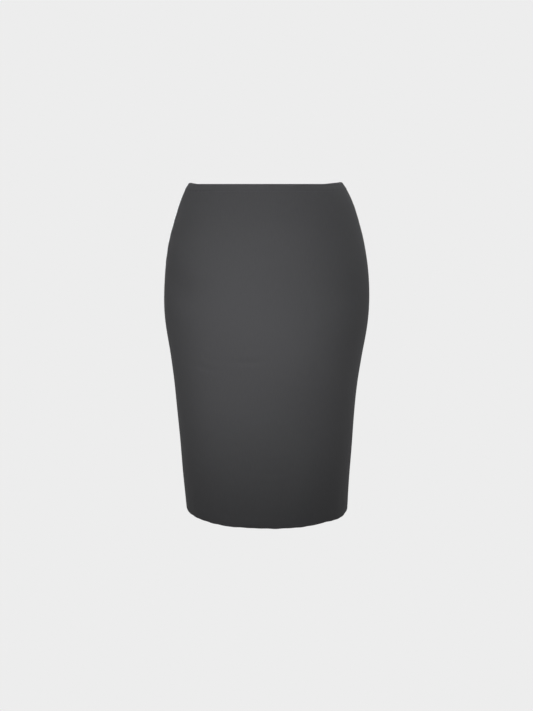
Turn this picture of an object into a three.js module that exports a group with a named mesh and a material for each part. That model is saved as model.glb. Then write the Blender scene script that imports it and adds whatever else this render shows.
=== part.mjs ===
// A knee-length pencil skirt in stretch double-knit cloth, filled out as it hangs on a general figure.
// It is a pull-on skirt: a front and a back panel, overlocked together at the sides, each with its waist
// edge turned in over a loop of elastic and its hem turned up inside. Millimetres, +Z up, and -Y is the
// front. The origin is the middle of the waist opening, where the wearer holds the skirt up.
import * as THREE from "three";

// Cloth and sewing sizes.
const LENGTH = 600; // waist edge to hem
const CLOTH = 1.3; // thickness of the double-knit
const GAP = 0.3; // between pieces, and between layers folded together
const ELASTIC_WIDTH = 10.5;
const ELASTIC_THICKNESS = 1;
const WAIST_TURN = 13; // how far the waist edge is turned in
const HEM_TURN = 20; // how far the hem is turned up
const ALLOWANCE_WIDTH = 8; // of a side seam
const ALLOWANCE_THICKNESS = 2.2; // two layers, pressed flat

// The waist edge stands a little higher at the side seams, and lower in the middle of the back.
const SEAM_PEAK = 2.6;
const SEAM_PEAK_REACH = Math.PI / 5; // how far round from the seam it falls to nothing
const BACK_DIP = 5;
const EDGE_SHAPE_DEPTH = 120; // how far down the wall follows the edge

// How finely the solids follow the form.
const PANEL_COLUMNS = 32; // steps across one panel, seam to seam
const ROW_STEP = 25; // height of a row of the wall
const SQUARENESS = 2.1; // exponent of the sections: 2 is an ellipse, more is squarer

// The horizontal sections of the outside, by how far each lies below the waist edge.
const SECTIONS = [
  { drop: 0, halfWidth: 137, front: 95, back: 90 },
  { drop: 25, halfWidth: 150.5, front: 103.5, back: 103 },
  { drop: 60, halfWidth: 162.5, front: 110.5, back: 117 },
  { drop: 100, halfWidth: 173.5, front: 116.5, back: 129 },
  { drop: 150, halfWidth: 182, front: 121, back: 138 },
  { drop: 208, halfWidth: 185.5, front: 123, back: 141 },
  { drop: 250, halfWidth: 183.5, front: 123, back: 138 },
  { drop: 300, halfWidth: 176.5, front: 121.5, back: 130.5 },
  { drop: 360, halfWidth: 168.5, front: 119.5, back: 121.5 },
  { drop: 430, halfWidth: 162.8, front: 118, back: 115 },
  { drop: 515, halfWidth: 158, front: 117, back: 111 },
  { drop: LENGTH, halfWidth: 153.5, front: 116, back: 108 },
];

// How far the wall stands out over the elastic, and dips at the stitches below it.
const WAIST_RELIEF = [
  { drop: 3, out: 0.4 },
  { drop: 7, out: 0.6 },
  { drop: 11, out: 0.3 },
  { drop: 14, out: -0.2 },
  { drop: 18, out: 0 },
];

const DOUBLE_KNIT = { color: 0x4a4a4c, roughness: 0.92, metalness: 0 };
const KNITTED_ELASTIC = { color: 0x2c2c2e, roughness: 0.85, metalness: 0 };

// Stretches of the way round, in turns from the left seam (+X) by the front to the right seam and the back.
// A panel ends a hair short of the seams.
const HAIR = 0.0001;
const FRONT = { from: HAIR, to: 0.5 - HAIR, steps: PANEL_COLUMNS };
const BACK = { from: 0.5 + HAIR, to: 1 - HAIR, steps: PANEL_COLUMNS };
const ALL_ROUND = { from: 0, to: 1, steps: 2 * PANEL_COLUMNS };

const formCurve = new THREE.CubicInterpolant(
  SECTIONS.map(({ drop }) => drop),
  SECTIONS.flatMap(({ halfWidth, front, back }) => [halfWidth, front, back]),
  3,
);

// How far the waist edge is lifted at an angle round, fading down the wall.
function edgeLift(angle, drop) {
  const fromSeam = Math.asin(Math.abs(Math.sin(angle)));
  const nearSeam = Math.max(0, 1 - fromSeam / SEAM_PEAK_REACH);
  const peak = SEAM_PEAK * nearSeam * (2 - nearSeam);
  const dip = BACK_DIP * Math.max(0, -Math.sin(angle)) ** 2;
  return (peak - dip) * Math.max(0, 1 - drop / EDGE_SHAPE_DEPTH) ** 2;
}

// A point of the form, moved inwards by inset. It keeps half a gap clear of the plane of the seams.
function formPoint(turn, drop, inset) {
  const [halfWidth, front, back] = formCurve.evaluate(drop);
  const angle = 2 * Math.PI * turn;
  const depth = turn <= 0.5 ? front : back;
  const x = halfWidth * Math.abs(Math.cos(angle)) ** (2 / SQUARENESS);
  const y = depth * Math.abs(Math.sin(angle)) ** (2 / SQUARENESS);
  const outward = new THREE.Vector2(
    x ** (SQUARENESS - 1) / halfWidth ** SQUARENESS,
    y ** (SQUARENESS - 1) / depth ** SQUARENESS,
  ).normalize();
  return new THREE.Vector3(
    Math.sign(Math.cos(angle)) * (x - inset * outward.x),
    (turn <= 0.5 ? -1 : 1) * Math.max(y - inset * outward.y, GAP / 2),
    edgeLift(angle, drop) - drop,
  );
}

// The points of one row across a span.
function formRow(span, drop, inset) {
  return Array.from({ length: span.steps + 1 }, (_, i) => {
    const turn = THREE.MathUtils.lerp(span.from, span.to, i / span.steps);
    return formPoint(turn, drop, inset);
  });
}

// A closed solid between two grids of points with the same rows and columns, the first of them outermost.
// A ring's last column joins its first.
function solidBetween(outer, inner, isRing = false) {
  const rows = outer.length;
  const columns = outer[0].length;
  const faces = [];
  const quad = (a, b, c, d) => faces.push(a, c, b, a, d, c);
  const out = (row, column) => row * columns + (column % columns);
  const back = (row, column) => rows * columns + out(row, column);
  const foot = rows - 1;
  const end = columns - 1;
  for (let i = 0; i < (isRing ? columns : end); i++) {
    const j = i + 1;
    for (let row = 0; row < foot; row++) {
      const below = row + 1;
      quad(out(row, i), out(below, i), out(below, j), out(row, j));
      quad(back(row, i), back(row, j), back(below, j), back(below, i));
    }
    quad(out(0, i), out(0, j), back(0, j), back(0, i));
    quad(out(foot, j), out(foot, i), back(foot, i), back(foot, j));
  }
  for (let row = 0; row < foot && !isRing; row++) {
    const below = row + 1;
    quad(out(row, 0), back(row, 0), back(below, 0), out(below, 0));
    quad(back(row, end), out(row, end), out(below, end), back(below, end));
  }
  const geometry = new THREE.BufferGeometry();
  geometry.setFromPoints([...outer.flat(), ...inner.flat()]);
  geometry.setIndex(faces);
  geometry.computeVertexNormals();
  return geometry;
}

// The middle of the cloth in section, as points of drop (x) and inset (y): first the wall, from the top of
// the elastic's relief to the top of the turned-up hem.
const WALL_TOP = WAIST_RELIEF.at(-1).drop;
const WALL_FOOT = LENGTH - HEM_TURN;
const WALL_ROWS = Math.round((WALL_FOOT - WALL_TOP) / ROW_STEP);
const wallRoute = [
  ...WAIST_RELIEF.map(
    ({ drop, out }) => new THREE.Vector2(drop, CLOTH / 2 - out),
  ),
  ...Array.from({ length: WALL_ROWS }, (_, i) => {
    const share = (i + 1) / WALL_ROWS;
    const drop = THREE.MathUtils.lerp(WALL_TOP, WALL_FOOT, share);
    return new THREE.Vector2(drop, CLOTH / 2);
  }),
];

// Then the whole of it, from the end of the turned waist edge to the end of the turned-up hem.
const CASING_INSET = 1.5 * CLOTH + ELASTIC_THICKNESS + 2 * GAP;
const HEM_INSET = 1.5 * CLOTH + GAP;
const clothRoute = [
  new THREE.Vector2(WAIST_TURN, CASING_INSET),
  new THREE.Vector2(CLOTH / 2, CASING_INSET),
  new THREE.Vector2(CLOTH / 2, CLOTH / 2),
  ...wallRoute,
  new THREE.Vector2(LENGTH - CLOTH / 2, CLOTH / 2),
  new THREE.Vector2(LENGTH - CLOTH / 2, HEM_INSET),
  new THREE.Vector2(WALL_FOOT + GAP, HEM_INSET),
];

// A route moved sideways by a distance, towards the inside of the skirt where it runs down the wall.
function besideRoute(route, distance) {
  const normals = route.slice(1).map((point, i) => {
    const along = point.clone().sub(route[i]).normalize();
    return new THREE.Vector2(-along.y, along.x);
  });
  return route.map((point, i) => {
    const before = normals[Math.max(i - 1, 0)];
    const after = normals[Math.min(i, normals.length - 1)];
    const mitre = before.clone().add(after);
    const reach = (2 * distance) / mitre.lengthSq();
    return mitre.multiplyScalar(reach).add(point);
  });
}

// A panel, with its turned waist edge and hem in one with its wall.
function panel(span) {
  const side = (distance) =>
    besideRoute(clothRoute, distance).map(({ x: drop, y: inset }) =>
      formRow(span, drop, inset),
    );
  return solidBetween(side(-CLOTH / 2), side(CLOTH / 2));
}

// The elastic, one loop inside the turned waist edge.
function elasticLoop() {
  const top = CLOTH + GAP;
  const ring = (inset) =>
    [top, top + ELASTIC_WIDTH].map((drop) =>
      formRow(ALL_ROUND, drop, inset).slice(0, -1),
    );
  const near = CLOTH + GAP;
  return solidBetween(ring(near), ring(near + ELASTIC_THICKNESS), true);
}

// The two allowances of a side seam, overlocked together and pressed on to the back panel, from the turned
// waist edge to the hem. They lie on the panel's first column, which is a step on from the seam.
function seamAllowance(seam, step) {
  const rows = wallRoute.filter(({ x: drop }) => drop > WAIST_TURN);
  const layer = (distance) =>
    rows.map(({ x: drop, y: middle }) => {
      const inset = middle + CLOTH / 2 + distance;
      const edge = formPoint(seam, drop, inset);
      const next = formPoint(seam + step, drop, inset);
      const share = ALLOWANCE_WIDTH / edge.distanceTo(next);
      return [edge, edge.clone().lerp(next, share)];
    });
  const layers = [layer(GAP), layer(GAP + ALLOWANCE_THICKNESS)];
  if (step < 0) layers.flat().forEach((row) => row.reverse());
  return solidBetween(...layers);
}

const skirt = new THREE.Group();

function sew(name, geometry, looks) {
  const mesh = new THREE.Mesh(geometry, new THREE.MeshStandardMaterial(looks));
  mesh.name = name;
  skirt.add(mesh);
}

const { from: rightSeam, to: leftSeam } = BACK;
const COLUMN_TURN = (leftSeam - rightSeam) / PANEL_COLUMNS;
sew("front_panel", panel(FRONT), DOUBLE_KNIT);
sew("back_panel", panel(BACK), DOUBLE_KNIT);
sew("waist_elastic", elasticLoop(), KNITTED_ELASTIC);
sew("side_seam_left", seamAllowance(leftSeam, -COLUMN_TURN), DOUBLE_KNIT);
sew("side_seam_right", seamAllowance(rightSeam, COLUMN_TURN), DOUBLE_KNIT);

export default skirt;
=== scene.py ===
"""A charcoal pencil skirt in stretch double-knit, filled out as it is worn, around its solids.

Lengths are in millimetres until a mesh is made, which is in metres. -Y is the front, +X the wearer's left.
A place on the skirt is given by its side (FRONT or BACK), its angle round from the left seam to the right
one, its drop below the waist edge, and its inset, which is how far it lies inside the face of the cloth.
"""

import math

import bpy
import numpy as np
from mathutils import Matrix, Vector


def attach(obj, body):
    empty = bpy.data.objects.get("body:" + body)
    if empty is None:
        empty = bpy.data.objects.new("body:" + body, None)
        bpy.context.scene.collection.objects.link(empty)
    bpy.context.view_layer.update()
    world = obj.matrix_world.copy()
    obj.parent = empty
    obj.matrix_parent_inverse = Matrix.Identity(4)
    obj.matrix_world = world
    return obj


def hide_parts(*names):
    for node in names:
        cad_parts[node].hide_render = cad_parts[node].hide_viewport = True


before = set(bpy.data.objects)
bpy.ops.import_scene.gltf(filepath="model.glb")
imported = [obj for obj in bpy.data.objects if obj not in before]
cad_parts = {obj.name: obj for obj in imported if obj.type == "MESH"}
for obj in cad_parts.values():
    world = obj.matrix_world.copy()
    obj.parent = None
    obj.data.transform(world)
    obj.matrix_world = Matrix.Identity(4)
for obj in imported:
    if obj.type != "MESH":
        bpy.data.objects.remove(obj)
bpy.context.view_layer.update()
MM = 0.001
FRONT, BACK = -1, 1

# The camera stands in front, level with the waist, and looks down a little, so the waist edge is seen as a
# straight line and the hem as the near half of an oval.
PICTURE_HEIGHT = 711
FOCAL_PIXELS = 850.1
SENSOR = 36
CAMERA_AWAY = 1.535
CAMERA_TILT = 11.41
camera = bpy.data.objects.new("camera", bpy.data.cameras.new("camera"))
bpy.context.scene.collection.objects.link(camera)
bpy.context.scene.camera = camera
camera.data.sensor_fit = "VERTICAL"
camera.data.sensor_height = SENSOR
camera.data.lens = SENSOR * FOCAL_PIXELS / PICTURE_HEIGHT
camera.location = (0, -CAMERA_AWAY, 0)
camera.rotation_euler = (math.radians(90 - CAMERA_TILT), 0, 0)

# The form of the skirt is that of its solids: half its width, and its depth in front and behind, read at
# each row of the panels' walls and joined by smooth curves. The waist edge stands up at the side seams,
# where four layers and the elastic are sewn together, and drops a little in the middle of the back.
LENGTH = 600
SQUARENESS = 2.1  # exponent of the sections: 2 is an ellipse, more is squarer
LEFT_PEAK, RIGHT_PEAK = 3.2, 1.9
LEFT_REACH, RIGHT_REACH = math.radians(44), math.radians(30)
BACK_DIP = 5
EDGE_SHAPE_DEPTH = 120
WALL_TOP = 18
HEM_TURN = 20
SAME_COLUMN = 0.2  # how near a point of the solids lies to a column or a row that it belongs to
SAME_ROW = 0.06


def smoothstep(x):
    """A smooth rise from 0 to 1, as x does so."""
    x = np.clip(x, 0, 1)
    return x * x * (3 - 2 * x)


def edge_lift(side, angle, drop):
    """How far the waist edge stands up or dips, fading down the wall."""
    from_seam = np.arcsin(np.sin(angle).clip(0, 1))
    at_left = np.cos(angle) > 0
    near = 1 - from_seam / np.where(at_left, LEFT_REACH, RIGHT_REACH)
    near = near.clip(0, 1)
    peak = np.where(at_left, LEFT_PEAK, RIGHT_PEAK) * near * (2 - near)
    dip = BACK_DIP * np.sin(angle) ** 2 if side == BACK else 0
    return (peak - dip) * np.clip(1 - drop / EDGE_SHAPE_DEPTH, 0, 1) ** 2


def column(solid, across, axis):
    """The drops of the rows of a panel's solid from the hem up, and how far it reaches there, along one
    column of it."""
    points = np.array([v.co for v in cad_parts[solid].data.vertices]) / MM
    points = points[(np.abs(points[:, across]) < SAME_COLUMN) & (points[:, 0] > -SAME_COLUMN)]
    heights = np.unique(points[:, 2].round(1))
    at_row = [np.abs(points[:, 2] - height) < SAME_ROW for height in heights]
    return -heights, [np.abs(points[row, axis]).max() for row in at_row]


def smooth_curve(at, values):
    """A natural cubic spline through values, which have a column for each quantity."""
    step = np.diff(at)
    system = np.eye(len(at))
    bend = np.zeros_like(values)
    for i in range(1, len(at) - 1):
        system[i, i - 1 : i + 2] = step[i - 1], 2 * (step[i - 1] + step[i]), step[i]
        rise = (values[i + 1] - values[i]) / step[i] - (values[i] - values[i - 1]) / step[i - 1]
        bend[i] = 6 * rise
    bend = np.linalg.solve(system, bend)

    def curve(x):
        i = np.clip(np.searchsorted(at, x) - 1, 0, len(step) - 1)
        h = step[i][..., None]
        b = (x - at[i])[..., None] / h
        a = 1 - b
        curved = (a**3 - a) * bend[i] + (b**3 - b) * bend[i + 1]
        return a * values[i] + b * values[i + 1] + curved * h**2 / 6

    return curve


# Rows are counted from the hem up. As far as the top of the wall every column has the same ones.
drops, fronts = column("front_panel", 0, 1)
widths = column("front_panel", 1, 0)[1]
backs = column("back_panel", 0, 1)[1]
in_wall = np.flatnonzero((drops >= WALL_TOP) & (drops <= LENGTH - HEM_TURN))
chosen = [-1, *in_wall[::-1], 0]  # the waist edge, the rows of the wall going down, and the hem
sections = np.array([[drops[row], widths[row], fronts[row], backs[row]] for row in chosen])
form = smooth_curve(sections[:, 0], sections[:, 1:])

# Worn, it isn't quite even: how far the left and the right side stand out from that form.
SIDES = [
    {"drop": 0, "left": -3.4, "right": 0.2},
    {"drop": 20, "left": -1.7, "right": -0.3},
    {"drop": 50, "left": -0.2, "right": -0.4},
    {"drop": 110, "left": 0.2, "right": 0.7},
    {"drop": 165, "left": 0.9, "right": 0.2},
    {"drop": 225, "left": 0.8, "right": 0.8},
    {"drop": 300, "left": -0.1, "right": 0.6},
    {"drop": 400, "left": -1.0, "right": 1.4},
    {"drop": 470, "left": 0.3, "right": 0.9},
    {"drop": 540, "left": -0.3, "right": 0.3},
    {"drop": 600, "left": -0.3, "right": -1.4},
]
side_rows = np.array([[row["drop"], row["left"], row["right"]] for row in SIDES])
side_curve = smooth_curve(side_rows[:, 0], side_rows[:, 1:])


def smooth_form(side, angle, drop, inset):
    """Points of the plain form, and the outward directions there."""
    angle, drop, inset = np.broadcast_arrays(angle, drop, inset)
    size = form(drop.astype(float))
    half_width, depth = size[..., 0], size[..., 1 if side == FRONT else 2]
    cosine, sine = np.cos(angle), np.sin(angle).clip(0, 1)
    x = half_width * np.abs(cosine) ** (2 / SQUARENESS)
    y = depth * sine ** (2 / SQUARENESS)
    out_x = x ** (SQUARENESS - 1) / half_width**SQUARENESS
    out_y = y ** (SQUARENESS - 1) / depth**SQUARENESS
    norm = np.hypot(out_x, out_y)
    out = np.stack([np.sign(cosine) * out_x / norm, side * out_y / norm, 0 * x], -1)
    left, right = np.moveaxis(side_curve(drop.astype(float)), -1, 0)
    x += np.where(cosine > 0, left, right) * cosine**2
    z = edge_lift(side, angle, drop) - drop
    face = np.stack([np.sign(cosine) * x, side * y, z], -1)
    return face - inset[..., None] * out, out


# The front and back are each one panel of stretch double-knit: their waist edge is turned in over the
# elastic and their hem is turned up, in one with the wall. The cloth is 1.3 mm thick, so both folds are
# rounded. Worn cloth pulls into faint creases across the thighs, and the sewn hem wavers a little.
CLOTH = 1.3
GAP = 0.3
ELASTIC_THICKNESS = 1.0
WAIST_TURN = 13
ALLOWANCE_WIDTH = 8
ALLOWANCE_THICKNESS = 2.2
SEAM_CLEARANCE = 0.01  # a panel stops this far from the seam's middle
QUARTER_ROUND = 1.3  # a quarter of the way round, in half widths

# Creases, as soft troughs: where their middles are (across from the middle, to the wearer's left, and
# down), their length, width and lean (in degrees, up to the left), and how deep they are. A broad fold that
# stands out has a depth below 0.
CREASES = {
    FRONT: [
        {"across": 52, "drop": 322, "length": 230, "width": 80, "lean": -38, "depth": -1.5},
        {"across": 128, "drop": 190, "length": 100, "width": 56, "lean": -6, "depth": 1.2},
        {"across": -132, "drop": 180, "length": 100, "width": 42, "lean": -15, "depth": 1.1},
        {"across": -22, "drop": 298, "length": 46, "width": 9, "lean": 5, "depth": 0.45},
        {"across": -88, "drop": 312, "length": 30, "width": 9, "lean": -14, "depth": 0.35},
        {"across": 62, "drop": 331, "length": 52, "width": 13, "lean": -9, "depth": 0.3},
        {"across": 7, "drop": 499, "length": 34, "width": 10, "lean": 6, "depth": 0.35},
        {"across": 45, "drop": 493, "length": 20, "width": 8, "lean": -20, "depth": 0.3},
        {"across": -98, "drop": 497, "length": 30, "width": 9, "lean": -8, "depth": 0.3},
    ],
    BACK: [
        {"across": -14, "drop": 61, "length": 104, "width": 19, "lean": 3, "depth": 0.5},
        {"across": 42, "drop": 90, "length": 70, "width": 17, "lean": -6, "depth": 0.35},
        {"across": -52, "drop": 306, "length": 74, "width": 13, "lean": 9, "depth": 0.7},
        {"across": 60, "drop": 318, "length": 64, "width": 12, "lean": -11, "depth": 0.55},
        {"across": -18, "drop": 342, "length": 48, "width": 10, "lean": -4, "depth": 0.4},
        {"across": 84, "drop": 455, "length": 36, "width": 10, "lean": 12, "depth": 0.35},
        {"across": -76, "drop": 506, "length": 32, "width": 9, "lean": 7, "depth": 0.35},
    ],
}
CREASE_SAG = 0.35  # how far a crease's ends hang down, in halves of its width
RIDGE_SHARE = 0.45  # the height of the soft ridges beside a crease, in its depth
RIDGE_AWAY = 2.2  # where they run, in halves of its width


def hump(x, middle, reach):
    """A smooth hump 1 high, which is down to a third at its reach from its middle."""
    return np.exp(-(((x - middle) / reach) ** 2))


def creases(side, across, drop):
    """How far the cloth stands out by a panel's creases."""
    total = 0
    for crease in CREASES[side]:
        lean = math.radians(crease["lean"])
        right, down = across - crease["across"], drop - crease["drop"]
        along = (right * math.cos(lean) - down * math.sin(lean)) / (crease["length"] / 2)
        over = (right * math.sin(lean) + down * math.cos(lean)) / (crease["width"] / 2)
        over = over + CREASE_SAG * along**2
        trough = hump(over, 0, 1) - RIDGE_SHARE * hump(np.abs(over), RIDGE_AWAY, 1)
        total = total - crease["depth"] * trough * hump(along, 0, 1)
    return total


# Where the wearer's thighs and seat fill the cloth more than an even form does, or the belly and the hip
# less: the middles of these swells, how far their width and height reach, and how far they stand out.
SWELLS = {
    FRONT: [
        {"across": -160, "drop": 210, "width": 55, "height": 85, "out": -3.0},
        {"across": -105, "drop": 410, "width": 55, "height": 190, "out": 5.5},
        {"across": 20, "drop": 210, "width": 55, "height": 80, "out": -1.5},
    ],
    BACK: [
        {"across": -64, "drop": 205, "width": 50, "height": 75, "out": 2.0},
        {"across": 60, "drop": 209, "width": 52, "height": 75, "out": 2.0},
    ],
}


def swells(side, across, drop):
    """How far the cloth stands out by a panel's swells."""
    total = 0
    for swell in SWELLS[side]:
        wide = (across - swell["across"]) / swell["width"]
        high = (drop - swell["drop"]) / swell["height"]
        total = total + swell["out"] * np.exp(-(wide**2) - high**2)
    return total


def uneven_wave(x, wave):
    """A wave whose folds come closer and wider in turn. Its folds are in millimetres per radian."""
    return np.sin(x / wave["fold"] + wave["drift"] * np.sin(x / wave["drift_fold"]))


def waves(table, side, across):
    """The sum of the waves of a table, by millimetres per radian, how far out, phase, and the part of the
    phase that goes by the side."""
    total = 0
    for wave in table:
        turn = across / wave["fold"] + wave["phase"] + wave["by_side"] * side
        total = total + wave["out"] * np.sin(turn)
    return total


# Round the waist the cloth is drawn in under the fold and at the casing stitches. Between them it stands
# out over the elastic, which gathers it into fine folds, some of them stronger than others.
WAIST_BANDS = [
    {"drop": 3.6, "reach": 1.4, "out": -0.25},
    {"drop": 10, "reach": 4.2, "out": 0.5},
    {"drop": 12.7, "reach": 1.0, "out": -0.25},
]
GATHERS = {"drop": 8.5, "reach": 4.5, "out": 0.45, "fold": 1.7, "drift": 1.5, "drift_fold": 11}
GATHERS_VARY = {"part": 0.4, "fold": 7.3}


def waist_relief(side, across, drop):
    """How far the cloth stands out by its bands and gathers round the waist."""
    total = 0
    for band in WAIST_BANDS:
        total = total + band["out"] * hump(drop, band["drop"], band["reach"])
    part = GATHERS_VARY["part"]
    strength = 1 - part + part * np.sin(across / GATHERS_VARY["fold"] + side)
    gathers = uneven_wave(across, GATHERS) * strength
    return total + GATHERS["out"] * gathers * hump(drop, GATHERS["drop"], GATHERS["reach"])


# At the side seams it is drawn in to a groove and puckers a little, and the back stands out over the
# allowances that are pressed to it.
GROOVE = {"reach": 1.0, "out": -0.3}
PUCKER = {"reach": 6, "out": 0.15, "fold": 3.4, "drift": 2, "drift_fold": 41}
PRESSED_EDGE = 10
PRESSED_OUT = 0.3
EASE = 3  # over how far cloth comes down off the allowances


def seam_relief(side, drop, from_seam):
    """How far the cloth stands out beside a side seam."""
    groove = GROOVE["out"] * hump(from_seam, 0, GROOVE["reach"])
    pucker = PUCKER["out"] * uneven_wave(drop, PUCKER) * hump(from_seam, 0, PUCKER["reach"])
    pressed = PRESSED_OUT * smoothstep((PRESSED_EDGE - from_seam) / EASE) if side == BACK else 0
    return groove + pucker + pressed


# At the hem its two layers stand out a little from where the turning begins, and it ripples.
TURNING = {"lead": 1, "ease": 3, "out": 0.12}
RIPPLE_RISE = 90
RIPPLE = [
    {"fold": 3.7, "out": 0.12, "phase": 0, "by_side": 1.3},
    {"fold": 9.1, "out": 0.22, "phase": 2.1, "by_side": 1},
    {"fold": 23, "out": 0.5, "phase": 0.4, "by_side": 0},
]


def hem_relief(side, across, drop):
    """How far the cloth stands out at the hem."""
    turning = smoothstep((drop - LENGTH + HEM_TURN + TURNING["lead"]) / TURNING["ease"])
    low = smoothstep((drop - LENGTH + RIPPLE_RISE) / RIPPLE_RISE)
    return TURNING["out"] * turning + low * waves(RIPPLE, side, across)


# Between waist and hem the wall rolls softly, besides its swells and creases.
ROLL = {"out": 0.5, "across": 31, "lean": 97, "down": 64, "phase": 0.7, "rise": 80}


def worn_relief(side, across, drop):
    """How far the cloth stands out where it rolls, swells and creases."""
    roll_across = np.sin(across / ROLL["across"] + drop / ROLL["lean"] + side)
    rolling = ROLL["out"] * roll_across * np.sin(drop / ROLL["down"] + ROLL["phase"])
    rolling = rolling * smoothstep(drop / ROLL["rise"])
    return rolling + swells(side, across, drop) + creases(side, across, drop)


def relief(side, across, drop, from_seam):
    """How far the face of the cloth stands out from the plain form."""
    waist, seam = waist_relief(side, across, drop), seam_relief(side, drop, from_seam)
    return waist + seam + hem_relief(side, across, drop) + worn_relief(side, across, drop)


# Where the hem hangs lower, in front and behind: angles and widths in degrees. Each seam draws it up. Its
# edge wavers a little at the stitches too.
HEM_DIPS = [
    {"angle": 0, "width": 9, FRONT: -2.2, BACK: -2.2},
    {"angle": 28, "width": 14, FRONT: 4.5, BACK: 1.8},
    {"angle": 65, "width": 19, FRONT: 1.7, BACK: 0.8},
    {"angle": 113, "width": 14, FRONT: 0.7, BACK: 1.2},
    {"angle": 146, "width": 20, FRONT: -1.2, BACK: 0.4},
    {"angle": 180, "width": 14, FRONT: -1.8, BACK: -1.8},
]
HEM_WAVER = [
    {"fold": 3.1, "out": -0.2, "phase": 0.8, "by_side": 0},
    {"fold": 5.3, "out": -0.18, "phase": 2.2, "by_side": 0},
    {"fold": 12.5, "out": -0.2, "phase": 4, "by_side": 0},
]
HEM_LINE_RISE = 80  # how far up the wall follows the hem's line


def hem_line(side, angle, across, drop):
    """How far the hem hangs lower."""
    down = waves(HEM_WAVER, side, across)
    for dip in HEM_DIPS:
        down = down + dip[side] * hump(np.degrees(angle), dip["angle"], dip["width"])
    return down * smoothstep((drop - LENGTH + HEM_LINE_RISE) / HEM_LINE_RISE)


def cloth_points(side, angle, drop, inset, over_allowance=True):
    """Points of the cloth: the plain form with its relief. What is folded in lies over the allowances."""
    plain, out = smooth_form(side, angle, drop, inset)
    angle, drop, inset = np.broadcast_arrays(angle, drop, inset)
    quarter_round = form(drop.astype(float))[..., 0] * QUARTER_ROUND
    across = quarter_round * (math.pi / 2 - angle) / (math.pi / 2)
    from_seam = np.abs(plain[..., 1])
    stands_out = relief(side, across, drop, from_seam)
    if over_allowance:
        reach = EASE + (ALLOWANCE_WIDTH if side == BACK else 0)
        folded = ((inset - CLOTH) / GAP).clip(0, 1)
        stands_out = stands_out - ALLOWANCE_THICKNESS * smoothstep((reach - from_seam) / EASE) * folded
    points = plain + out * stands_out[..., None]
    points[..., 2] -= hem_line(side, angle, across, drop)
    points[..., 1] = side * np.maximum(side * points[..., 1], SEAM_CLEARANCE)
    return points


def arc(centre, radius, start, end, steps):
    """Points of drop and inset round a fold, between the angles start and end, in degrees."""
    turn = np.radians(np.linspace(start, end, steps + 2)[1:-1])
    return np.stack([centre[0] - radius * np.cos(turn), centre[1] + radius * np.sin(turn)], -1)


def run(start, end, step):
    """Points of drop and inset along a straight stretch."""
    steps = max(1, round(math.dist(start, end) / step))
    return np.linspace(start, end, steps + 1)


# The way of the cloth's middle in section, from the end of the turned waist edge to that of the hem. Its
# points come closer where it folds, and towards the hem.
turned_in = 1.5 * CLOTH + ELASTIC_THICKNESS + 2 * GAP
turned_up = 1.5 * CLOTH + GAP
waist_bend = (turned_in - CLOTH / 2) / 2
hem_bend = (turned_up - CLOTH / 2) / 2
waist_centre = (CLOTH / 2 + waist_bend, CLOTH / 2 + waist_bend)
hem_centre = (LENGTH - CLOTH / 2 - hem_bend, CLOTH / 2 + hem_bend)
near_hem = LENGTH - 40
way = np.concatenate(
    [
        run((WAIST_TURN, turned_in), (waist_centre[0], turned_in), step=2.2),
        arc(waist_centre, waist_bend, start=90, end=-90, steps=7),
        run((waist_centre[0], CLOTH / 2), (WALL_TOP, CLOTH / 2), step=1.1),
        run((WALL_TOP, CLOTH / 2), (near_hem, CLOTH / 2), step=3.6)[1:],
        run((near_hem, CLOTH / 2), (hem_centre[0], CLOTH / 2), step=2.4)[1:],
        arc(hem_centre, hem_bend, start=-90, end=-270, steps=6),
        run((hem_centre[0], turned_up), (LENGTH - HEM_TURN, turned_up), step=3),
    ]
)


def beside(way, distance):
    """A way moved sideways, to the inside of the skirt where it runs down the wall."""
    along = np.gradient(way, axis=0)
    along /= np.linalg.norm(along, axis=1)[:, None]
    return way + distance * np.stack([-along[:, 1], along[:, 0]], -1)


# The angles of a panel's columns, from seam to seam, which come closer near the seams.
NEAR_SEAM = np.radians([0, 0.15, 0.3, 0.5, 0.8, 1.2, 1.7, 2.2, 2.7, 3.3, 3.9, 4.6, 5.4])
EVEN_FROM = math.radians(6.4)
EVEN_COLUMNS = 64
to_middle = np.concatenate([NEAR_SEAM, np.linspace(EVEN_FROM, math.pi / 2, EVEN_COLUMNS)])
angles = np.concatenate([to_middle, math.pi - to_middle[-2::-1]])


def quads(rows, columns, close_rows=False, close_columns=False):
    """The faces of a grid of points, which may close to a ring either way."""
    row, column = np.mgrid[0 : rows - (not close_rows), 0 : columns - (not close_columns)]
    below, after = (row + 1) % rows, (column + 1) % columns
    corners = [(row, column), (below, column), (below, after), (row, after)]
    return np.stack([r * columns + c for r, c in corners], -1).reshape(-1, 4)


def piece(name, points, faces, flat, flat_faces, material):
    """A mesh object of points in millimetres. Its UV map gives each place on the flat cut, in metres."""
    mesh = bpy.data.meshes.new(name)
    mesh.from_pydata((points.reshape(-1, 3) * MM).tolist(), [], faces)
    mesh.shade_smooth()
    corners = [corner for face in flat_faces for corner in face]
    layer = mesh.uv_layers.new(name="cut")
    layer.uv.foreach_set("vector", (flat.reshape(-1, 2) * MM)[corners].ravel())
    mesh.materials.append(material)
    made = bpy.data.objects.new(name, mesh)
    bpy.context.scene.collection.objects.link(made)
    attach(made, "root")
    return made


def flat_places(grid):
    """Where the points of a grid lie on the flat cut: across from the middle column, and down."""
    steps = np.linalg.norm(np.diff(grid, axis=1), axis=-1)
    across = np.pad(np.cumsum(steps, axis=1), ((0, 0), (1, 0)))
    across -= across[:, across.shape[1] // 2, None]
    down = np.linalg.norm(np.diff(grid, axis=0), axis=-1).mean(axis=1)
    down = np.concatenate([[0], np.cumsum(down)])[:, None]
    return np.stack([across, np.broadcast_to(-down, across.shape)], -1)


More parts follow.
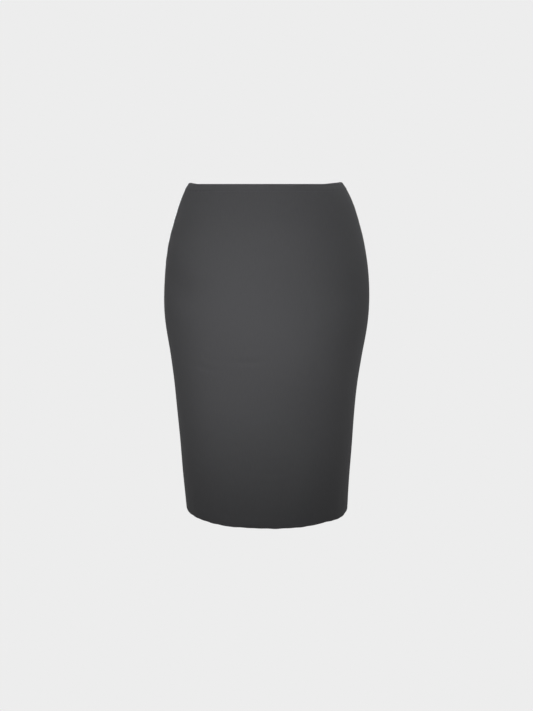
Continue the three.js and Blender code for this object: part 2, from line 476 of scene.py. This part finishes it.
def panel(name, side, material):
    """A panel of cloth along its way in section, and how wide, long and large it is when laid flat."""
    routes = [beside(way, distance) for distance in (-CLOTH / 2, CLOTH / 2)]
    outer, inner = (cloth_points(side, angles, route[:, :1], route[:, 1:]) for route in routes)
    rows, columns = outer.shape[:2]
    face = quads(rows, columns)
    index = np.arange(rows * columns).reshape(rows, columns)
    rim = np.concatenate([index[0, :-1], index[:-1, -1], index[-1, :0:-1], index[:0:-1, 0]])
    after = np.roll(rim, -1)
    edge = np.stack([rim, after, after + index.size, rim + index.size], -1)
    faces = np.concatenate([face, face[:, ::-1] + index.size, edge])
    if side == FRONT:
        faces = faces[:, ::-1]
    faces = faces.tolist()
    flat = flat_places(outer)
    made = piece(name, np.stack([outer, inner]), faces, np.stack([flat, flat]), faces, material)
    wide = np.ptp(flat[..., 0], axis=1)
    long = np.ptp(flat[..., 1])
    area = np.sum((wide[1:] + wide[:-1]) / 2 * -np.diff(flat[:, 0, 1]))
    return made, (wide.max(), long, area)


def colour(hex_code):
    """The linear colour of an sRGB hex code."""
    parts = [int(hex_code[i : i + 2], 16) / 255 for i in (1, 3, 5)]
    linear = [p / 12.92 if p <= 0.04045 else ((p + 0.055) / 1.055) ** 2.4 for p in parts]
    return (*linear, 1)


def new_material(name):
    """A material with no nodes yet."""
    material = bpy.data.materials.new(name)
    material.use_nodes = True
    material.node_tree.nodes.clear()
    return material


def node(material, kind, links=(), **settings):
    """Adds a node. A setting is a property, or the value of the input that has that name or number, and
    links join an input to an output of another node."""
    tree = material.node_tree
    made = tree.nodes.new("ShaderNode" + kind)
    for key, value in settings.items():
        if hasattr(made, key):
            setattr(made, key, value)
            continue
        socket = int(key[1:]) if key[1:].isdigit() else key.replace("_", " ")
        made.inputs[socket].default_value = value
    for socket, source in dict(links).items():
        source_node, output = source if isinstance(source, tuple) else (source, 0)
        tree.links.new(source_node.outputs[output], made.inputs[socket])
    return made


# Double-knit of viscose, nylon and elastane, charcoal: knitted on two needle beds, so both sides are smooth
# and matt, with a faint bloom of fibre ends that lightens it where it turns away. The loops are about
# 0.7 mm wide and 0.6 mm tall, and they are drawn twice as coarse, because they are too fine to show.
LOOP_WIDTH = 1.4 * MM
LOOP_HEIGHT = 1.2 * MM
LEG_HEIGHT = 0.35
FIBRES = 0.5 * MM
FIBRE_HEIGHT = 0.8
CLOUDS = 9 * MM
STREAK_WIDTH = 1.6 * MM
STREAK_LENGTH = 14 * MM
DARK_CHARCOAL = colour("#464648")
LIGHT_CHARCOAL = colour("#505052")
EVEN_CHARCOAL = colour("#4b4b4d")
BLOOM = colour("#b8b8bc")
double_knit = new_material("charcoal_double_knit")
places = node(double_knit, "UVMap", uv_map="cut")
parts = node(double_knit, "SeparateXYZ", {0: places})
wale = node(double_knit, "Math", {0: (parts, "X")}, operation="DIVIDE", _1=LOOP_WIDTH)
fold = node(double_knit, "Math", {0: wale}, operation="PINGPONG", _1=0.5)
course = node(double_knit, "Math", {0: (parts, "Y")}, operation="DIVIDE", _1=LOOP_HEIGHT)
leg = node(double_knit, "Math", {0: course, 1: fold}, operation="ADD")
leg_turn = node(double_knit, "Math", {0: leg}, operation="MULTIPLY", _1=2 * math.pi)
leg_wave = node(double_knit, "Math", {0: leg_turn}, operation="SINE")
rib = node(double_knit, "Math", {0: fold}, operation="MULTIPLY", _1=2.0)
stitch = node(double_knit, "Math", {0: leg_wave, 2: rib}, operation="MULTIPLY_ADD", _1=LEG_HEIGHT)
fibres = node(double_knit, "TexNoise", {"Vector": places}, Scale=1 / FIBRES, Detail=2.0)
height_parts = {0: (fibres, "Fac"), 2: stitch}
height = node(double_knit, "Math", height_parts, operation="MULTIPLY_ADD", _1=FIBRE_HEIGHT)
bump = node(double_knit, "Bump", {"Height": height}, Strength=0.35, Distance=0.1 * MM)
cloud = node(double_knit, "TexNoise", {"Vector": places}, Scale=1 / CLOUDS, Detail=3.0)
streaks = (1 / STREAK_WIDTH, 1 / STREAK_LENGTH, 1)
streak_place = node(double_knit, "Mapping", {"Vector": places}, Scale=streaks)
streak = node(double_knit, "TexNoise", {"Vector": streak_place}, Scale=1.0, Detail=2.0)
shade = node(
    double_knit, "Mix", {0: (streak, "Fac")}, data_type="RGBA", _6=DARK_CHARCOAL, _7=LIGHT_CHARCOAL
)
tint = node(
    double_knit, "Mix", {0: (cloud, "Fac"), 6: (shade, 2)}, data_type="RGBA", _7=EVEN_CHARCOAL
)
cloth_surface = node(
    double_knit,
    "BsdfPrincipled",
    {"Base Color": (tint, 2), "Normal": bump},
    Roughness=0.9,
    Specular_IOR_Level=0.25,
    Sheen_Weight=0.04,
    Sheen_Roughness=0.5,
    Sheen_Tint=BLOOM,
)
node(double_knit, "OutputMaterial", {"Surface": cloth_surface})

front, front_cut = panel("front", FRONT, double_knit)
back, back_cut = panel("back", BACK, double_knit)
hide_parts("front_panel")
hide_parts("back_panel")


# The elastic is one loop of knitted elastic tape, 10.5 mm wide, with soft ribs along it. The waist edge is
# turned in over it, and it lies between the cloth and the seam allowances.
ELASTIC_WIDTH = 10.5
RIB_WIDTH = 1.5
RIB_DEPTH = 0.12
TAPE_POINTS = 29  # across the tape

# Rubber threads knitted over with charcoal polyester: fine picks across the tape, and fibres between them.
PICKS = 0.9 * MM
TAPE_FIBRES = 0.4 * MM
DARK_TAPE = colour("#242426")
LIGHT_TAPE = colour("#3a3a3d")
elastic_tape = new_material("charcoal_knitted_elastic")
tape_places = node(elastic_tape, "UVMap", uv_map="cut")
pick = node(elastic_tape, "TexWave", {"Vector": tape_places}, Scale=1 / PICKS, Distortion=0.6)
tape_fibres = node(elastic_tape, "TexNoise", {"Vector": tape_places}, Scale=1 / TAPE_FIBRES, Detail=2.0)
tape_bump = node(elastic_tape, "Bump", {"Height": pick}, Strength=0.4, Distance=0.15 * MM)
tape_tint = node(
    elastic_tape, "Mix", {0: (tape_fibres, "Fac")}, data_type="RGBA", _6=DARK_TAPE, _7=LIGHT_TAPE
)
tape_surface = node(
    elastic_tape,
    "BsdfPrincipled",
    {"Base Color": (tape_tint, 2), "Normal": tape_bump},
    Roughness=0.8,
    Specular_IOR_Level=0.35,
)
node(elastic_tape, "OutputMaterial", {"Surface": tape_surface})


def closed_flat(grid, close_rows):
    """The flat places of a grid whose columns close, and whose rows may close too."""
    grid = np.concatenate([grid, grid[:, :1]], axis=1)
    return flat_places(np.concatenate([grid, grid[:1]]) if close_rows else grid)


top = CLOTH + GAP
tape_way = np.linspace(0, ELASTIC_WIDTH, TAPE_POINTS)
rib = RIB_DEPTH * np.abs(np.sin(math.pi * tape_way / RIB_WIDTH))
rib_out = np.stack([top + tape_way, top + RIB_DEPTH - rib], -1)
rib_in = np.stack([top + tape_way, top + ELASTIC_THICKNESS - RIB_DEPTH + rib], -1)
tape_section = np.concatenate([rib_out, rib_in[::-1]])
halves = [
    cloth_points(side, turn, tape_section[:, :1], tape_section[:, 1:])
    for side, turn in ((FRONT, angles), (BACK, angles[::-1]))
]
loop = np.concatenate(halves, axis=1)
loop_faces = quads(*loop.shape[:2], close_rows=True, close_columns=True)[:, ::-1].tolist()
loop_flat = closed_flat(loop, close_rows=True)
loop_flat_faces = quads(*loop_flat.shape[:2])[:, ::-1].tolist()
elastic = piece("elastic", loop, loop_faces, loop_flat, loop_flat_faces, elastic_tape)
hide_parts("waist_elastic")


# Each side seam joins the panels with two allowances of cloth, overlocked together and pressed to the back.
# They run down inside from the waist fold to the hem fold, and both folds close over them.
ALLOWANCE_ENDS = (2.2, 597.4)
ALLOWANCE_ROWS = 180

# Round the section of both allowances, from the seam: how far from it, and how far in from the panel. The
# notch at the free edge is the line between the two layers.
ALLOWANCE_SECTION = [
    {"away": -0.5, "off": 0.5},
    {"away": -0.2, "off": 0.1},
    {"away": 0.4, "off": 0.0},
    {"away": 2.5, "off": 0.0},
    {"away": 5.0, "off": 0.0},
    {"away": 7.4, "off": 0.05},
    {"away": 7.9, "off": 0.3},
    {"away": 8.0, "off": 0.6},
    {"away": 7.85, "off": 0.95},
    {"away": 7.55, "off": 1.1},
    {"away": 7.8, "off": 1.25},
    {"away": 7.95, "off": 1.6},
    {"away": 7.85, "off": 1.9},
    {"away": 7.4, "off": 2.15},
    {"away": 5.0, "off": 2.2},
    {"away": 2.5, "off": 2.2},
    {"away": 0.4, "off": 2.2},
    {"away": -0.3, "off": 2.0},
    {"away": -0.6, "off": 1.5},
    {"away": -0.65, "off": 1.0},
]


def on_allowance(at_left, away, off, drop):
    """Points on the allowances of a seam, at a distance away from it and off the panel's inside."""
    away, off, drop = np.broadcast_arrays(away, off, drop)
    depth = form(drop.astype(float))[..., 2]
    from_seam = np.arcsin((np.abs(away) / depth) ** (SQUARENESS / 2))
    angle = from_seam if at_left else math.pi - from_seam
    points = cloth_points(BACK, angle, drop, CLOTH + GAP + off, over_allowance=False)
    points[..., 1] *= np.where(away < 0, -1, 1)
    return points


def caps(rows, corners, columns):
    """The two end faces of a tube that is a grid with that many columns."""
    ring = np.arange(corners)
    return [ring.tolist(), (ring[::-1] + (rows - 1) * columns).tolist()]


def allowance(name, at_left):
    """The two allowances of a seam, as one piece."""
    away = np.array([place["away"] for place in ALLOWANCE_SECTION])
    off = np.array([place["off"] for place in ALLOWANCE_SECTION])
    down = np.linspace(*ALLOWANCE_ENDS, ALLOWANCE_ROWS)[:, None]
    grid = on_allowance(at_left, away, off, down)
    rows, columns = grid.shape[:2]
    flat = closed_flat(grid, close_rows=False)
    faces = quads(rows, columns, close_columns=True).tolist() + caps(rows, columns, columns)
    flat_faces = quads(rows, columns + 1).tolist() + caps(rows, columns, columns + 1)
    if not at_left:
        faces, flat_faces = [f[::-1] for f in faces], [f[::-1] for f in flat_faces]
    made = piece(name, grid, faces, flat, flat_faces, double_knit)
    return made


left_allowance = allowance("left_seam_allowance", True)
right_allowance = allowance("right_seam_allowance", False)
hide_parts("side_seam_left")
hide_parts("side_seam_right")


# Sewing thread is spun polyester, dyed to match the cloth: two plies twisted together, 0.3 mm thick, so it
# has a fine slanting twist and is a little smoother than the cloth.
# Its colour follows that twist, with painted shade in the grooves between the plies and a painted highlight
# on their crests.
THREAD_RADIUS = 0.15
PLY = 2.4 * MM
TWIST = math.radians(35)
# The darker colour is painted shade in the grooves between the plies, and the lighter one is a painted
# highlight on their crests.
THREAD_GROOVE_SHADE = colour("#464649")
THREAD_CREST_HIGHLIGHT = colour("#5a5a5e")
thread = new_material("charcoal_spun_polyester_thread")
thread_places = node(thread, "UVMap", uv_map="cut")
slant = node(thread, "Mapping", {"Vector": thread_places}, Rotation=(0, 0, TWIST))
ply = node(thread, "TexWave", {"Vector": slant}, Scale=1 / PLY, Distortion=0.0)
thread_bump = node(thread, "Bump", {"Height": ply}, Strength=0.5, Distance=0.05 * MM)
# Painted shade and highlight along the twist, mixed by the same wave that makes the bump.
thread_twist_painted_shade = node(thread, "Mix", {0: (ply, "Fac")}, data_type="RGBA", _6=THREAD_GROOVE_SHADE, _7=THREAD_CREST_HIGHLIGHT)
thread_surface = node(
    thread,
    "BsdfPrincipled",
    {"Base Color": (thread_twist_painted_shade, 2), "Normal": thread_bump},
    Roughness=0.7,
    Specular_IOR_Level=0.4,
)
node(thread, "OutputMaterial", {"Surface": thread_surface})


def unit(vectors):
    """Vectors made 1 long."""
    return vectors / np.linalg.norm(vectors, axis=-1, keepdims=True)


def tube_rings(paths, start, sides):
    """Rings of points round paths, which turn with them and don't twist. start is a direction that the
    paths don't begin in."""
    along = unit(np.gradient(paths, axis=1))
    level = np.empty_like(paths)
    last = np.cross(along[:, 0], start)
    for step in range(paths.shape[1]):
        way_on = along[:, step]
        last = unit(last - np.sum(last * way_on, axis=-1, keepdims=True) * way_on)
        level[:, step] = last
    upright = np.cross(level, along)
    turn = 2 * math.pi * np.arange(sides)[:, None] / sides
    ring = np.cos(turn) * level[:, :, None] + np.sin(turn) * upright[:, :, None]
    return paths[:, :, None] + THREAD_RADIUS * ring


def tube_faces(first, count, steps, sides, wide):
    """The faces of tubes whose points follow each other from the first on. wide is how many points are in a
    ring: as many as its sides, or one more where it is laid flat."""
    round_tube = quads(steps, wide, close_columns=wide == sides)
    ends = np.array(caps(steps, sides, wide))
    faces = []
    for begin in first + steps * wide * np.arange(count):
        faces.extend((round_tube + begin).tolist())
        faces.extend((ends + begin).tolist())
    return faces


def thread_piece(name, runs, sides=5):
    """Thread along sets of paths, each path a tube with closed ends. A run is a set of paths, and a
    direction for each that it doesn't begin in."""
    points, faces, flats, flat_faces = [], [], [], []
    for paths, start in runs:
        count, steps = paths.shape[:2]
        length = np.linalg.norm(np.diff(paths, axis=1), axis=-1)
        length = np.pad(np.cumsum(length, axis=1), ((0, 0), (1, 0)))[..., None]
        girth = 2 * math.pi * THREAD_RADIUS * np.arange(sides + 1) / sides
        faces += tube_faces(sum(map(len, points)), count, steps, sides, sides)
        flat_faces += tube_faces(sum(map(len, flats)), count, steps, sides, sides + 1)
        points.append(tube_rings(paths, start, sides).reshape(-1, 3))
        flats.append(np.stack(np.broadcast_arrays(girth, length), -1).reshape(-1, 2))
    made = piece(name, np.concatenate(points), faces, np.concatenate(flats), flat_faces, thread)
    return made


def evenly_round(side, drop, inset, spacing):
    """A function that turns a number of stitches round a panel from its left seam into an angle, and how
    many stitches of about that spacing go round it."""
    fine = np.linspace(0, math.pi, 721)  # every quarter of a degree
    steps = np.linalg.norm(np.diff(cloth_points(side, fine, drop, inset), axis=0), axis=-1)
    length = np.concatenate([[0], np.cumsum(steps)])
    count = round(length[-1] / spacing)
    return lambda stitches: np.interp(stitches * length[-1] / count, length, fine), count


# The overlock stitch wraps a cut edge: a looper thread zigzags from the needle's line over the edge and
# back, and the needle's thread shows as a row of short stitches 5 mm in.
OVERLOCK_PITCH = 2.5
LOOPER = [
    {"into": 5.0, "off": 0.1, "along": 0.0},
    {"into": 2.6, "off": 0.22, "along": 0.2},
    {"into": 0.4, "off": 0.22, "along": 0.4},
    {"into": -0.14, "off": -0.15, "along": 0.46},
    {"into": -0.16, "off": -0.65, "along": 0.5},
    {"into": -0.14, "off": -0.15, "along": 0.54},
    {"into": 0.4, "off": 0.22, "along": 0.6},
    {"into": 2.6, "off": 0.22, "along": 0.8},
]
NEEDLE = [
    {"into": 5.05, "off": -0.2, "along": 0.03},
    {"into": 5.05, "off": 0.12, "along": 0.2},
    {"into": 5.05, "off": 0.16, "along": 0.5},
    {"into": 5.05, "off": 0.12, "along": 0.8},
    {"into": 5.05, "off": -0.2, "along": 0.97},
]


def stitched(table, place, count, joined=False):
    """The paths of stitches, one after another, and a direction that each doesn't begin in. place gives the
    point at a distance into the cloth from its edge, at a height off its face, and a number of stitches
    along."""
    into, off, share = (np.array([row[key] for row in table]) for key in ("into", "off", "along"))
    along = np.arange(count)[:, None] + share
    paths = place(into, off, along)
    if joined:
        paths = paths.reshape(1, -1, 3)
        return paths, place(into[:1], off[:1], along[:1, :1] + 1) - paths[:, 0]
    return paths, (place(into, off + 1, along) - paths)[:, 0]


def overlock(name, place, count):
    """A row of overlock stitches."""
    looper = stitched(LOOPER, place, count, joined=True)
    return thread_piece(name, [looper, stitched(NEEDLE, place, count)])


def along_seam(at_left):
    """A place for stitches along the free edge of a seam's allowances."""

    def place(into, off, along):
        away = ALLOWANCE_WIDTH - into
        drop = WAIST_TURN + OVERLOCK_PITCH * along
        return on_allowance(at_left, away, ALLOWANCE_THICKNESS + off, drop)

    return place


seam_stitches = int((LENGTH - HEM_TURN - WAIST_TURN) / OVERLOCK_PITCH)
left_overlock = overlock("left_seam_overlock", along_seam(True), seam_stitches)
right_overlock = overlock("right_seam_overlock", along_seam(False), seam_stitches)

# Three kinds of sewing go round each panel: overlock along its cut waist and hem edges, a row of straight
# stitches that holds the waist edge down below the elastic, and blind stitches that catch the hem's edge to
# the inside of the wall.
CASING_DROP = 12.5
CASING_PITCH = 2.8
BLIND_PITCH = 6
STRAIGHT = [
    {"into": 0.0, "off": -0.25, "along": 0.04},
    {"into": 0.0, "off": 0.08, "along": 0.16},
    {"into": 0.0, "off": 0.13, "along": 0.5},
    {"into": 0.0, "off": 0.08, "along": 0.84},
    {"into": 0.0, "off": -0.25, "along": 0.96},
]
CATCH = [
    {"into": 2.4, "off": 0.3, "along": 0.0},
    {"into": 1.2, "off": 0.4, "along": 0.25},
    {"into": -0.1, "off": 0.3, "along": 0.4},
    {"into": -0.9, "off": -1.1, "along": 0.46},
    {"into": -1.2, "off": -1.5, "along": 0.5},
    {"into": -0.9, "off": -1.1, "along": 0.54},
    {"into": -0.1, "off": 0.3, "along": 0.6},
    {"into": 1.2, "off": 0.4, "along": 0.75},
]
waist_face = turned_in + CLOTH / 2
hem_face = turned_up + CLOTH / 2


def round_panel(side, drop, inset, spacing, up=1):
    """A place for stitches round a panel, on the face of the cloth at an inset, whose edge is at a drop."""
    to_angle, count = evenly_round(side, drop, inset, spacing)
    inwards = 1 if inset > 0 else -1

    def place(into, off, along):
        return cloth_points(side, to_angle(along), drop - up * into, inset + inwards * off)

    return place, count


def sew(name, side):
    """The rows of sewing round a panel."""
    waist_edge = round_panel(side, WAIST_TURN, waist_face, OVERLOCK_PITCH)
    hem_edge = round_panel(side, LENGTH - HEM_TURN, hem_face, OVERLOCK_PITCH, up=-1)
    outside = round_panel(side, CASING_DROP, 0, CASING_PITCH)
    inside = round_panel(side, CASING_DROP, waist_face, CASING_PITCH)
    catches = round_panel(side, LENGTH - HEM_TURN, hem_face, BLIND_PITCH, up=-1)
    casing_rows = [stitched(STRAIGHT, *row) for row in (outside, inside)]
    return [
        overlock(f"{name}_waist_overlock", *waist_edge),
        overlock(f"{name}_hem_overlock", *hem_edge),
        thread_piece(f"{name}_casing_stitches", casing_rows),
        thread_piece(f"{name}_blind_stitches", [stitched(CATCH, *catches, joined=True)]),
    ]


on_front = sew("front", FRONT)
on_back = [*sew("back", BACK), left_allowance, right_allowance, left_overlock, right_overlock]

# Floor and light of a plain studio: a pale floor as far down as the ground is from a waist, which runs out
# of sight, a narrow soft lamp in front, a wide one overhead, three behind, and even light from all round. A
# lamp's place is its azimuth (0 is the front, 90 the wearer's left), height angle and distance.
FLOOR_DROP = 1.05
FLOOR_REACH = 30
STUDIO = colour("#ededed")
AIM = Vector((-0.09, 0, -0.27))
LAMPS = {
    "front": {"azimuth": 5, "rise": 14, "away": 2.1, "spread": 24, "energy": 0.59},
    "overhead": {"azimuth": 0, "rise": 79, "away": 2.5, "spread": 180, "energy": 26},
    "behind": {"azimuth": 180, "rise": 18, "away": 2.5, "spread": 180, "energy": 20},
    "behind_left": {"azimuth": 125, "rise": 30, "away": 2.5, "spread": 180, "energy": 9},
    "behind_right": {"azimuth": -150, "rise": 20, "away": 2.5, "spread": 180, "energy": 4},
}
LAMP_SIZE = 0.35
EVEN_LIGHT = 0.18

FLOOR_CORNERS = ((-1, -1), (1, -1), (1, 1), (-1, 1))
corners = [(x * FLOOR_REACH, y * FLOOR_REACH, -FLOOR_DROP) for x, y in FLOOR_CORNERS]
floor_mesh = bpy.data.meshes.new("floor")
floor_mesh.from_pydata(corners, [], [(0, 1, 2, 3)])
floor = bpy.data.objects.new("floor", floor_mesh)
bpy.context.scene.collection.objects.link(floor)
floor.visible_diffuse = False
paper = new_material("white_studio_paper")
glow = node(paper, "Emission", Color=STUDIO, Strength=1.0)
node(paper, "OutputMaterial", {"Surface": glow})
floor_mesh.materials.append(paper)

world = bpy.data.worlds.new("studio")
bpy.context.scene.world = world
world.use_nodes = True
world.node_tree.nodes.clear()
seen = node(world, "Background", Color=STUDIO, Strength=1.0)
around = node(world, "Background", Color=STUDIO, Strength=EVEN_LIGHT)
ray = node(world, "LightPath")
studio = node(world, "MixShader", {0: (ray, "Is Camera Ray"), 1: around, 2: seen})
node(world, "OutputWorld", {"Surface": studio})

for name, setting in LAMPS.items():
    lamp = bpy.data.lights.new(name + "_lamp", "AREA")
    lamp.shape = "DISK"
    lamp.size = LAMP_SIZE
    lamp.spread = math.radians(setting["spread"])
    lamp.energy = setting["energy"]
    azimuth, rise = math.radians(setting["azimuth"]), math.radians(setting["rise"])
    level = Vector((math.sin(azimuth), -math.cos(azimuth), 0)) * math.cos(rise)
    towards = level + Vector((0, 0, math.sin(rise)))
    lit = bpy.data.objects.new(name + "_lamp", lamp)
    bpy.context.scene.collection.objects.link(lit)
    lit.location = AIM + setting["away"] * towards
    lit.rotation_euler = towards.to_track_quat("Z", "Y").to_euler()
    lit.visible_camera = False
bpy.context.scene.view_settings.view_transform = "Standard"
